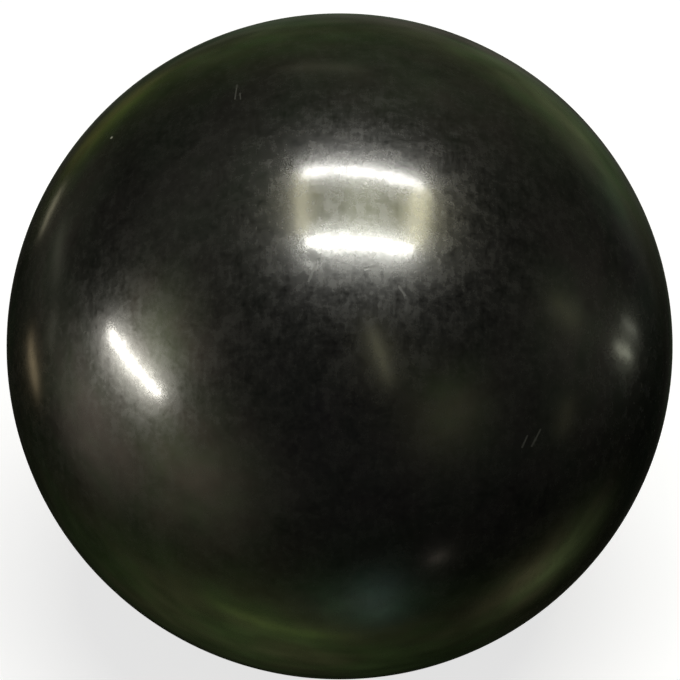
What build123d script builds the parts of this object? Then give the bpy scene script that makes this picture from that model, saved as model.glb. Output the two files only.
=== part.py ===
from build123d import *
import math
import os

# Polished shungite ball, one piece of stone ground and lapped round.
# Millimetres, +Z up, origin at the centre of the ball.

# ---- driving dimensions ----
ball_diameter = 60.0            # finished, polished diameter
rock_density_g_cm3 = 2.35       # carbon-rich shungite rock

# ---- derived ----
ball_radius = ball_diameter / 2.0


def make_ball():
    """A solid ball: a half disc turned about the vertical axis, as the stone is
    turned between cupped grinders. It has no bore, flat, seam or foot."""
    with BuildPart() as ball:
        with BuildSketch(Plane.XZ):
            with BuildLine():
                CenterArc((0, 0), ball_radius, -90, 180)
                Line((0, ball_radius), (0, -ball_radius))
            make_face()
        revolve(axis=Axis.Z, revolution_arc=360)
    solid = ball.part.solids()[0]
    solid.label = "ball"
    return solid


nodes = {"ball": make_ball()}

os.makedirs("parts", exist_ok=True)
for name, solid in nodes.items():
    export_step(solid, os.path.join("parts", name + ".step"))

for name, solid in nodes.items():
    exact = 4.0 / 3.0 * math.pi * ball_radius ** 3
    size = solid.bounding_box().size
    print(f"{name}: {solid.volume:.2f} mm3 (a true ball is {exact:.2f}), "
          f"{size.X:.3f} x {size.Y:.3f} x {size.Z:.3f} mm, "
          f"{solid.volume / 1000.0 * rock_density_g_cm3:.1f} g, valid {solid.is_valid}")
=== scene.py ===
import math

import bmesh
import bpy
import numpy as np
from mathutils import Matrix, Vector, noise


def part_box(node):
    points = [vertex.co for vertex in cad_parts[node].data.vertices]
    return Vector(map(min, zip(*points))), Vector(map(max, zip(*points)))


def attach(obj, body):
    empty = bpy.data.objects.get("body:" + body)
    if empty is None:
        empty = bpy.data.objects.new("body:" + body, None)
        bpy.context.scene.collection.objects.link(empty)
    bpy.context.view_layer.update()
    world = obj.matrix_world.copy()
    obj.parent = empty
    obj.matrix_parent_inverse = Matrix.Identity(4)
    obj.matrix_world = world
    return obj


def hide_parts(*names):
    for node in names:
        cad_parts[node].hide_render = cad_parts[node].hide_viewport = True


# A polished shungite ball. Metres, +Z up, origin at the ball's centre.

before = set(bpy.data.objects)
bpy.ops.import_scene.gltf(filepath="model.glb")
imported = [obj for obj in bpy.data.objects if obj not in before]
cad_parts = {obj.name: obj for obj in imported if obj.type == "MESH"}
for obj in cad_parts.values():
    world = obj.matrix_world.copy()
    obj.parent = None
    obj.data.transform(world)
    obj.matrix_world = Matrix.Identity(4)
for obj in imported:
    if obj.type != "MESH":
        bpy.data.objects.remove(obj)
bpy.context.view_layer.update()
BOX_LO, BOX_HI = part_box("ball")
CENTRE = (BOX_LO + BOX_HI) / 2
RADIUS = (BOX_HI.z - BOX_LO.z) / 2

scene = bpy.context.scene
scene.view_settings.view_transform = "Standard"
scene.view_settings.look = "None"

# ---------------------------------------------------------------- camera ----
ELEVATION = math.radians(42.0)
DISTANCE = 0.50
FRAME_PX = 680.0
OUTLINE_PX = 333.2              # radius of the ball's outline in the frame
OFF_X_PX, OFF_Y_PX = -0.4, 6.3  # outline's centre from the frame's centre, right and down

RIGHT = Vector((1.0, 0.0, 0.0))
UP = Vector((0.0, math.sin(ELEVATION), math.cos(ELEVATION)))
BACK = Vector((0.0, -math.cos(ELEVATION), math.sin(ELEVATION)))

cam_data = bpy.data.cameras.new("camera")
cam_data.sensor_width = 36.0
tan_edge = math.tan(math.asin(RADIUS / DISTANCE))
cam_data.lens = OUTLINE_PX / FRAME_PX * cam_data.sensor_width / tan_edge
cam_data.dof.use_dof = False
cam_data.clip_start, cam_data.clip_end = 0.01, 100.0
camera = bpy.data.objects.new("camera", cam_data)
scene.collection.objects.link(camera)
mm_per_px = DISTANCE * tan_edge / OUTLINE_PX
aim = CENTRE + UP * (OFF_Y_PX * mm_per_px) - RIGHT * (OFF_X_PX * mm_per_px)
camera.location = CENTRE + BACK * DISTANCE
look = (aim - camera.location).normalized()
camera.rotation_mode = "QUATERNION"
camera.rotation_quaternion = look.to_track_quat("-Z", "Y")
scene.camera = camera


# ------------------------------------------------------------------ mesh ----
GRID = 127          # quads along each side of the six spherical squares


def lapping(p):
    """Height in metres, never above zero, of the hand-lapped surface at unit
    direction p: a ball turned between cups is a few microns off round."""
    slow = noise.noise(p * 2.3 + Vector((3.1, 7.7, 1.9)))
    mid = noise.noise(p * 6.5 + Vector((9.2, 0.4, 5.3)))
    fine = noise.noise(p * 17.0 + Vector((2.8, 6.1, 8.4)))
    return (slow * 6.0 + mid * 3.0 + fine * 0.9 - 10.0) * 1e-6


def pit(mesh):
    """Shallow natural pits, a few microns deep, that the polish didn't remove."""
    rng = np.random.default_rng(41)
    ways = rng.normal(size=(46, 3))
    ways = np.vstack([[(-2.49, -16.65, 24.83), (-1.98, -16.86, 24.74)], ways])
    ways /= np.linalg.norm(ways, axis=1)[:, None]
    depth = np.concatenate([[22e-6, 20e-6], rng.uniform(5e-6, 16e-6, 46)])
    wide = np.concatenate([[0.00027, 0.00025], rng.uniform(0.00024, 0.00050, 46)])
    co = np.empty(len(mesh.vertices) * 3, dtype=np.float64)
    mesh.vertices.foreach_get("co", co)
    co = co.reshape(-1, 3)
    out = co - np.array(CENTRE)
    out /= np.linalg.norm(out, axis=1)[:, None]
    for way, d, w in zip(ways, depth, wide):
        apart = np.linalg.norm(out - way, axis=1) * RADIUS
        co -= out * (d * np.exp(-0.5 * (apart / w) ** 2))[:, None]
    mesh.vertices.foreach_set("co", co.ravel())
    mesh.update()


def make_ball():
    sides = (((1, 0, 0), (0, 1, 0), (0, 0, 1)), ((-1, 0, 0), (0, -1, 0), (0, 0, 1)),
             ((0, 1, 0), (-1, 0, 0), (0, 0, 1)), ((0, -1, 0), (1, 0, 0), (0, 0, 1)),
             ((0, 0, 1), (1, 0, 0), (0, 1, 0)), ((0, 0, -1), (1, 0, 0), (0, -1, 0)))
    bm = bmesh.new()
    uv = bm.loops.layers.uv.new("OFBake")
    warp = [math.tan((i / GRID - 0.5) * math.pi / 2) for i in range(GRID + 1)]
    shared = {}
    for s, (n, a, b) in enumerate(sides):
        n, a, b = Vector(n), Vector(a), Vector(b)
        grid = []
        for j in range(GRID + 1):
            row = []
            for i in range(GRID + 1):
                p = (n + a * warp[i] + b * warp[j]).normalized()
                key = (round(p.x, 6), round(p.y, 6), round(p.z, 6))
                if key not in shared:
                    shared[key] = bm.verts.new(CENTRE + p * (RADIUS + lapping(p)))
                row.append(shared[key])
            grid.append(row)
        col, line = s % 3, s // 3
        u0, v0 = col / 3 + 0.006, line / 2 + 0.006
        du, dv = 1 / 3 - 0.012, 1 / 2 - 0.012
        for j in range(GRID):
            for i in range(GRID):
                face = bm.faces.new((grid[j][i], grid[j][i + 1], grid[j + 1][i + 1], grid[j + 1][i]))
                face.smooth = True
                corners = ((i, j), (i + 1, j), (i + 1, j + 1), (i, j + 1))
                for loop, (ci, cj) in zip(face.loops, corners):
                    loop[uv].uv = (u0 + du * ci / GRID, v0 + dv * cj / GRID)
    bmesh.ops.recalc_face_normals(bm, faces=bm.faces)
    mesh = bpy.data.meshes.new("polished_ball")
    bm.to_mesh(mesh)
    bm.free()
    pit(mesh)
    obj = bpy.data.objects.new("polished_ball", mesh)
    scene.collection.objects.link(obj)
    return obj


ball = make_ball()


# -------------------------------------------------------------- material ----
class Graph:
    """Small helper to write node trees as expressions."""

    def __init__(self, tree):
        self.tree = tree
        self.nodes, self.links = tree.nodes, tree.links

    def put(self, socket, value):
        if isinstance(value, bpy.types.NodeSocket):
            self.links.new(value, socket)
        elif value is not None:
            socket.default_value = value

    def math(self, op, a, b=None, c=None, clamp=False):
        n = self.nodes.new("ShaderNodeMath")
        n.operation, n.use_clamp = op, clamp
        for i, v in enumerate((a, b, c)):
            if v is not None:
                self.put(n.inputs[i], v)
        return n.outputs[0]

    def vec(self, op, a, b=None, scale=None):
        n = self.nodes.new("ShaderNodeVectorMath")
        n.operation = op
        self.put(n.inputs[0], a)
        if b is not None:
            self.put(n.inputs[1], b)
        if scale is not None:
            self.put(n.inputs["Scale"], scale)
        return n.outputs["Value"] if op in ("DOT_PRODUCT", "LENGTH", "DISTANCE") else n.outputs[0]

    def ramp(self, value, lo, hi, a=0.0, b=1.0, smooth=True):
        n = self.nodes.new("ShaderNodeMapRange")
        n.interpolation_type = "SMOOTHSTEP" if smooth else "LINEAR"
        n.clamp = True
        for i, v in enumerate((value, lo, hi, a, b)):
            self.put(n.inputs[i], v)
        return n.outputs[0]

    def mix(self, factor, a, b, kind="MIX"):
        n = self.nodes.new("ShaderNodeMix")
        n.data_type, n.blend_type, n.clamp_factor = "RGBA", kind, True
        self.put(n.inputs[0], factor)
        self.put(n.inputs[6], a)
        self.put(n.inputs[7], b)
        return n.outputs[2]

    def noise(self, vector, scale, detail=2.0, rough=0.5, distort=0.0, colour=False):
        n = self.nodes.new("ShaderNodeTexNoise")
        self.put(n.inputs["Vector"], vector)
        for k, v in (("Scale", scale), ("Detail", detail), ("Roughness", rough), ("Distortion", distort)):
            self.put(n.inputs[k], v)
        return n.outputs["Color" if colour else "Fac"]

    def voronoi(self, vector, scale, feature="F1", randomness=1.0):
        n = self.nodes.new("ShaderNodeTexVoronoi")
        n.feature = feature
        self.put(n.inputs["Vector"], vector)
        self.put(n.inputs["Scale"], scale)
        self.put(n.inputs["Randomness"], randomness)
        return n


def rgba(r, g, b):
    return (r, g, b, 1.0)


# Marks left on the polish: from, to (millimetres from the ball's centre), half width, kind. Dull marks are rough,
# slightly sunk scratches. Pale marks are rough scratches whose lighter base colour is also a painted highlight,
# the glint of lamp light along them. The last kind is a painted glint: a near-white dot of base colour, no
# scratch.
SCORES = (
    ((-2.04, -17.02, 24.62), (-2.61, -18.11, 23.77), 0.085, "dull"),
    ((-8.93, 2.29, 28.55), (-9.08, 0.32, 28.59), 0.060, "pale"),
    ((-8.65, 1.00, 28.71), (-8.60, 0.14, 28.74), 0.055, "pale"),
    ((16.12, -23.06, 10.40), (15.69, -23.67, 9.67), 0.085, "pale"),
    ((17.26, -22.25, 10.35), (16.53, -23.22, 9.37), 0.085, "pale"),
    # painted glint: a near-white dot of base colour that stands in for a lamp's sparkle
    ((-20.07, 2.88, 22.11), (-20.02, 2.80, 22.17), 0.120, "painted_glint"),
    ((5.05, -18.22, 23.30), (5.55, -18.75, 22.75), 0.090, "dull"),
    ((2.16, -17.29, 24.42), (3.20, -17.05, 24.50), 0.090, "dull"),
    ((11.00, 16.20, 22.70), (12.90, 15.10, 22.50), 0.045, "dull"),
    ((-19.50, 14.00, 18.10), (-18.30, 15.60, 18.00), 0.055, "pale"),
)


def shungite():
    mat = bpy.data.materials.new("shungite_polished")
    mat.use_nodes = True
    g = Graph(mat.node_tree)
    bsdf = next(n for n in g.nodes if n.type == "BSDF_PRINCIPLED")
    coord = g.nodes.new("ShaderNodeTexCoord").outputs["Object"]
    mm = g.vec("SCALE", coord, scale=1000.0)          # object coordinates in millimetres

    clouds = g.noise(mm, 0.16, 3.0, 0.55, 0.6)
    patches = g.noise(mm, 0.62, 3.0, 0.55, 0.3)
    grain = g.noise(mm, 1.5, 3.0, 0.58)
    tiny = g.noise(mm, 3.4, 1.0, 0.5)
    laps = g.noise(g.vec("MULTIPLY", mm, (2.3, 0.42, 0.42)), 1.0, 3.0, 0.6, 0.3)
    cross = g.noise(g.vec("MULTIPLY", mm, (0.5, 2.6, 0.9)), 1.0, 2.0, 0.5, 0.8)

    def spread(value, amount):
        return g.math("MULTIPLY", g.math("SUBTRACT", value, 0.5), amount)

    def total(first, *rest):
        for r in rest:
            first = g.math("ADD", first, r)
        return first

    # hairlines: thin level lines of stretched noise, kept only in a few places
    def hairs(vector, keep_lo, keep_hi, width):
        n = g.noise(vector, 1.0, 1.0, 0.4, 0.5)
        line = g.ramp(g.math("ABSOLUTE", g.math("SUBTRACT", n, 0.5)), width, 0.0)
        return g.math("MULTIPLY", line, g.ramp(patches, keep_lo, keep_hi))

    fine = g.math("MAXIMUM", hairs(g.vec("MULTIPLY", mm, (0.9, 0.07, 0.07)), 0.52, 0.66, 0.009),
                  hairs(g.vec("MULTIPLY", mm, (0.08, 0.8, 0.10)), 0.55, 0.68, 0.008))

    kinds = {"dull": None, "pale": None, "painted_glint": None}
    for start, end, half, kind in SCORES:
        a, b = Vector(start), Vector(end)
        ab = b - a
        to = g.vec("SUBTRACT", mm, tuple(a))
        t = g.math("DIVIDE", g.vec("DOT_PRODUCT", to, tuple(ab)), ab.length_squared, clamp=True)
        away = g.vec("DISTANCE", to, g.vec("SCALE", tuple(ab), scale=t))
        mark = g.ramp(away, half * 1.5, half * 0.4)
        kinds[kind] = mark if kinds[kind] is None else g.math("MAXIMUM", kinds[kind], mark)

    dark, light = rgba(0.0038, 0.0038, 0.0033), rgba(0.0112, 0.0110, 0.0094)
    tone = total(0.5, spread(clouds, 1.2), spread(patches, 1.3), spread(grain, 1.6), spread(tiny, 0.8))
    body = g.mix(tone, dark, light)
    speck_cells = g.voronoi(mm, 1.1)
    speck_pick = g.math("GREATER_THAN", g.vec("DOT_PRODUCT", speck_cells.outputs["Color"], (1.0, 0.0, 0.0)), 0.90)
    speck = g.math("MULTIPLY", speck_pick, g.ramp(speck_cells.outputs["Distance"], 0.10, 0.03))
    body = g.mix(g.math("MULTIPLY", speck, 0.5), body, rgba(0.060, 0.057, 0.047))
    # painted highlight: pale scratches get a lighter base colour for the lamp glint along them; their added
    # roughness below is real
    body = g.mix(g.math("MULTIPLY", kinds["pale"], 0.6), body, rgba(0.10, 0.10, 0.09))
    # painted highlight: a near-white base colour paints a lamp glint on one small speck
    body = g.mix(kinds["painted_glint"], body, rgba(0.55, 0.54, 0.47))
    g.put(bsdf.inputs["Base Color"], body)

    rough = total(0.250, spread(clouds, 0.09), spread(patches, 0.17), spread(laps, 0.13),
                  spread(cross, 0.06), spread(grain, 0.17), spread(tiny, 0.07))
    rough = g.math("ADD", rough, g.math("MULTIPLY", fine, 0.05))
    rough = g.math("ADD", rough, g.math("MULTIPLY", kinds["dull"], 0.15))
    rough = g.math("ADD", rough, g.math("MULTIPLY", kinds["pale"], 0.20), clamp=True)
    g.put(bsdf.inputs["Roughness"], rough)
    bsdf.inputs["IOR"].default_value = 2.4
    bsdf.inputs["Coat Weight"].default_value = 1.0
    bsdf.inputs["Coat Roughness"].default_value = 0.125
    bsdf.inputs["Coat IOR"].default_value = 1.7

    swell = g.noise(mm, 1.3, 1.0, 0.45)
    height = total(g.math("MULTIPLY", patches, 0.6), g.math("MULTIPLY", swell, 0.6),
                   g.math("MULTIPLY", kinds["dull"], -0.25))
    bump = g.nodes.new("ShaderNodeBump")
    bump.inputs["Strength"].default_value = 1.0
    bump.inputs["Distance"].default_value = 0.000012
    g.put(bump.inputs["Height"], height)
    g.put(bsdf.inputs["Normal"], bump.outputs["Normal"])
    return mat


ball.data.materials.append(shungite())
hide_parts("ball")
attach(ball, "root")


# ----------------------------------------------------------------- stage ----
def make_floor():
    bm = bmesh.new()
    bmesh.ops.create_circle(bm, cap_ends=True, segments=128, radius=1.2)
    mesh = bpy.data.meshes.new("floor")
    bm.to_mesh(mesh)
    bm.free()
    obj = bpy.data.objects.new("floor", mesh)
    obj.location = (CENTRE.x, CENTRE.y, BOX_LO.z)
    scene.collection.objects.link(obj)
    mat = bpy.data.materials.new("floor_plain")
    mat.use_nodes = True
    bsdf = next(n for n in mat.node_tree.nodes if n.type == "BSDF_PRINCIPLED")
    bsdf.inputs["Base Color"].default_value = rgba(0.55, 0.55, 0.57)
    bsdf.inputs["Roughness"].default_value = 0.9
    bsdf.inputs["Specular IOR Level"].default_value = 0.0
    bsdf.inputs["Emission Color"].default_value = rgba(1.0, 1.0, 1.0)
    bsdf.inputs["Emission Strength"].default_value = 0.72
    obj.data.materials.append(mat)
    obj.visible_glossy = False      # the polished stone mirrors the dim room, not the pale floor
    obj.visible_diffuse = False
    return obj


make_floor()


# ---------------------------------------------------------------- lights ----
def panel(name, middle, along, across, length, width, radiance, colour=(1, 1, 1)):
    """A rectangular lamp that shines from middle towards the ball."""
    light = bpy.data.lights.new(name, "AREA")
    light.shape = "RECTANGLE"
    light.size, light.size_y = length, width
    light.energy = radiance * length * width * math.pi
    light.color = colour
    obj = bpy.data.objects.new(name, light)
    scene.collection.objects.link(obj)
    x, y = Vector(along).normalized(), Vector(across).normalized()
    z = x.cross(y).normalized()
    m = Matrix((x, y, z)).transposed().to_4x4()
    m.translation = middle
    obj.matrix_world = m
    obj.visible_camera = False
    return obj


CEILING = 1.70      # height of the overhead fitting above the ball's centre


def overhead(name, x0, x1, y_left, y_right, width, radiance, colour=(1, 1, 1), drop=0.0):
    """A tube or band of the overhead fitting; x and y are tangents of the angle from straight up."""
    h = CEILING - drop
    a, b = Vector((x0 * h, y_left * h, h)), Vector((x1 * h, y_right * h, h))
    along = (b - a).normalized()
    across = Vector((0, 0, 1)).cross(along)
    return panel(name, (a + b) / 2, along, across, (b - a).length, width * h, radiance, colour)


overhead("tube_far", -0.195, 0.460, 0.248, 0.223, 0.056, 15.6, (1.0, 0.985, 0.94), 0.02)
overhead("tube_near", -0.188, 0.436, -0.2235, -0.2385, 0.045, 33.5, (1.0, 1.0, 0.93), 0.02)
overhead("reflector_left", -0.17, 0.03, 0.01, 0.01, 0.42, 0.28, (1.0, 1.04, 0.50))
overhead("reflector_mid", 0.03, 0.22, 0.0, 0.0, 0.42, 0.80, (1.0, 1.04, 0.62))
overhead("reflector_right", 0.22, 0.39, 0.0, 0.0, 0.42, 0.36, (1.0, 1.04, 0.50))
overhead("band_left", -0.24, -0.166, 0.03, 0.03, 0.42, 2.6, (1.0, 0.94, 0.64), 0.01)
overhead("band_right", 0.39, 0.51, 0.0, 0.0, 0.42, 3.7, (1.0, 0.95, 0.62), 0.01)


def sky(lon, lat):
    """Direction from the ball; lon 0 is straight away from the camera, 90 is to the right."""
    lon, lat = math.radians(lon), math.radians(lat)
    return Vector((math.sin(lon) * math.cos(lat), math.cos(lon) * math.cos(lat), math.sin(lat)))


def upright(name, lon0, lon1, lat0, lat1, width_deg, radiance, colour, distance=2.5):
    """A straight lamp seen from the ball between two directions."""
    a, b = sky(lon0, lat0) * distance, sky(lon1, lat1) * distance
    middle = (a + b) / 2
    along = (b - a).normalized()
    z = middle.normalized()             # the lamp shines along -z, to the ball
    across = z.cross(along).normalized()
    width = 2 * middle.length * math.tan(math.radians(width_deg) / 2)
    return panel(name, middle, along, across, (b - a).length, width, radiance, colour)


upright("tube_left", -91.6, -118.0, 6.6, 5.8, 2.1, 27.0, (1.0, 0.965, 0.88))


# ----------------------------------------------------------------- world ----
def make_world():
    """Pale to the camera, a dim olive room to the polished stone, soft light from above to the rest."""
    world = bpy.data.worlds.new("studio")
    scene.world = world
    world.use_nodes = True
    g = Graph(world.node_tree)
    g.nodes.clear()
    out = g.nodes.new("ShaderNodeOutputWorld")
    way = g.nodes.new("ShaderNodeTexCoord").outputs["Generated"]
    up = g.vec("DOT_PRODUCT", way, (0.0, 0.0, 1.0))
    room = g.mix(g.ramp(up, -0.12, 0.06), rgba(0.0020, 0.0024, 0.0018), rgba(0.0028, 0.0029, 0.0026))

    def glow(lon, lat, spread_deg):
        """Round soft glow."""
        d = g.vec("DOT_PRODUCT", way, tuple(sky(lon, lat)))
        k = 1.0 / (math.radians(spread_deg) ** 2)
        return g.math("EXPONENT", g.math("MULTIPLY", g.math("SUBTRACT", d, 1.0), k))

    def streak(lon0, lat0, lon1, lat1, width_deg):
        """Soft bar between two directions."""
        a, b = sky(lon0, lat0), sky(lon1, lat1)
        m = (a + b).normalized()
        e = (b - a).normalized()
        f = m.cross(e).normalized()
        u = g.math("MULTIPLY", g.vec("DOT_PRODUCT", way, tuple(e)), 2.0 / (b - a).length)
        v = g.math("MULTIPLY", g.vec("DOT_PRODUCT", way, tuple(f)), 1.0 / math.radians(width_deg))
        u2 = g.math("POWER", g.math("ABSOLUTE", u), 4.0)
        v2 = g.math("MULTIPLY", v, v)
        k = g.math("EXPONENT", g.math("MULTIPLY", g.math("ADD", u2, v2), -0.5))
        return g.math("MULTIPLY", k, g.math("GREATER_THAN", g.vec("DOT_PRODUCT", way, tuple(m)), 0.0))

    glows = (                       # direction, spread, colour
        (-10, -1.5, 13, (0.036, 0.057, 0.017)),
        (24.5, -11, 9.5, (0.083, 0.115, 0.046)),
        (42, -13, 8, (0.024, 0.026, 0.026)),
        (-24, -16, 5, (0.070, 0.077, 0.016)),
        (-49, -10, 10, (0.034, 0.035, 0.025)),
        (15.5, 30, 18.5, (0.047, 0.050, 0.032)),
        (-108, 16.5, 9, (0.420, 0.388, 0.270)),
        (-129, -10, 14.5, (0.158, 0.154, 0.098)),
        (-92, -16, 11, (0.194, 0.188, 0.138)),
        (-67, 53, 21, (0.040, 0.045, 0.033)),
        (-118, -73, 19, (0.064, 0.084, 0.031)),
        (173, -56, 7.5, (0.038, 0.066, 0.046)),
        (4, -27, 10, (0.060, 0.064, 0.052)),
        (85, -57.5, 7, (0.105, 0.116, 0.052)),
        (143, 13, 8.5, (0.076, 0.085, 0.042)),
        (85, 3.5, 15.5, (0.036, 0.038, 0.028)),
        (137, 3, 26, (0.009, 0.009, 0.008)),
        (-161, 7.5, 29, (0.007, 0.007, 0.008)),
        (69, -16, 4, (0.020, 0.021, 0.014)),
        (147, -39, 1.6, (0.26, 0.26, 0.20)),
    )
    streaks = (                     # from, to, half width, colour
        (-54.5, -27, -62, -30, 1.7, (0.62, 0.49, 0.29)),
        (-37, -22, -33, -19, 1.3, (0.50, 0.46, 0.32)),
        (-48, -9.8, -61, -9.4, 1.5, (0.11, 0.105, 0.082)),
        (-66, -12, -68.5, -18, 1.6, (0.13, 0.12, 0.095)),
        (-11, 24, 4, 28, 1.2, (0.13, 0.115, 0.082)),
        (164.5, 47, 161.2, 30, 1.1, (0.72, 0.70, 0.44)),
        (68.2, -13, 63, -19.5, 0.7, (0.60, 0.62, 0.50)),
        (75.3, -13.2, 69, -20, 0.7, (1.5, 1.55, 1.2)),
        (91, 16, 86, 5, 2.2, (0.15, 0.15, 0.085)),
        (101, -8, 105, -15, 2.0, (0.085, 0.08, 0.045)),
        (-119, 2, -92, 3, 3.0, (0.16, 0.145, 0.105)),
        (-124, -64, -172, -76, 1.6, (0.10, 0.155, 0.030)),
        (167, -44, 160, -67, 3.5, (0.030, 0.050, 0.050)),
    )
    for lon, lat, wide, colour in glows:
        room = g.vec("ADD", room, g.vec("SCALE", colour, scale=glow(lon, lat, wide)))
    mottle = g.noise(g.vec("MULTIPLY", way, (12.0, 12.0, 10.0)), 1.0, 4.0, 0.62, 0.5)
    room = g.vec("SCALE", room, scale=g.ramp(mottle, 0.30, 0.70, 0.30, 1.70, smooth=False))
    hue = g.noise(g.vec("MULTIPLY", way, (5.0, 5.0, 7.0)), 1.0, 2.0, 0.5, 0.3)
    room = g.vec("MULTIPLY", room, g.mix(g.ramp(hue, 0.38, 0.62), rgba(1.14, 0.95, 1.05), rgba(0.88, 1.06, 0.88)))
    for lon0, lat0, lon1, lat1, wide, colour in streaks:
        room = g.vec("ADD", room, g.vec("SCALE", colour, scale=streak(lon0, lat0, lon1, lat1, wide)))

    dim = g.nodes.new("ShaderNodeBackground")
    g.put(dim.inputs["Color"], room)
    pale = g.nodes.new("ShaderNodeBackground")
    pale.inputs["Color"].default_value = rgba(1.0, 1.0, 1.0)
    soft = g.nodes.new("ShaderNodeBackground")
    g.put(soft.inputs["Color"], g.mix(g.ramp(up, -0.05, 0.05), rgba(0.04, 0.04, 0.04), rgba(0.12, 0.12, 0.118)))
    path = g.nodes.new("ShaderNodeLightPath")
    a = g.nodes.new("ShaderNodeMixShader")
    g.put(a.inputs[0], path.outputs["Is Glossy Ray"])
    g.put(a.inputs[1], soft.outputs[0])
    g.put(a.inputs[2], dim.outputs[0])
    b = g.nodes.new("ShaderNodeMixShader")
    g.put(b.inputs[0], path.outputs["Is Camera Ray"])
    g.put(b.inputs[1], a.outputs[0])
    g.put(b.inputs[2], pale.outputs[0])
    g.put(out.inputs["Surface"], b.outputs[0])


make_world()
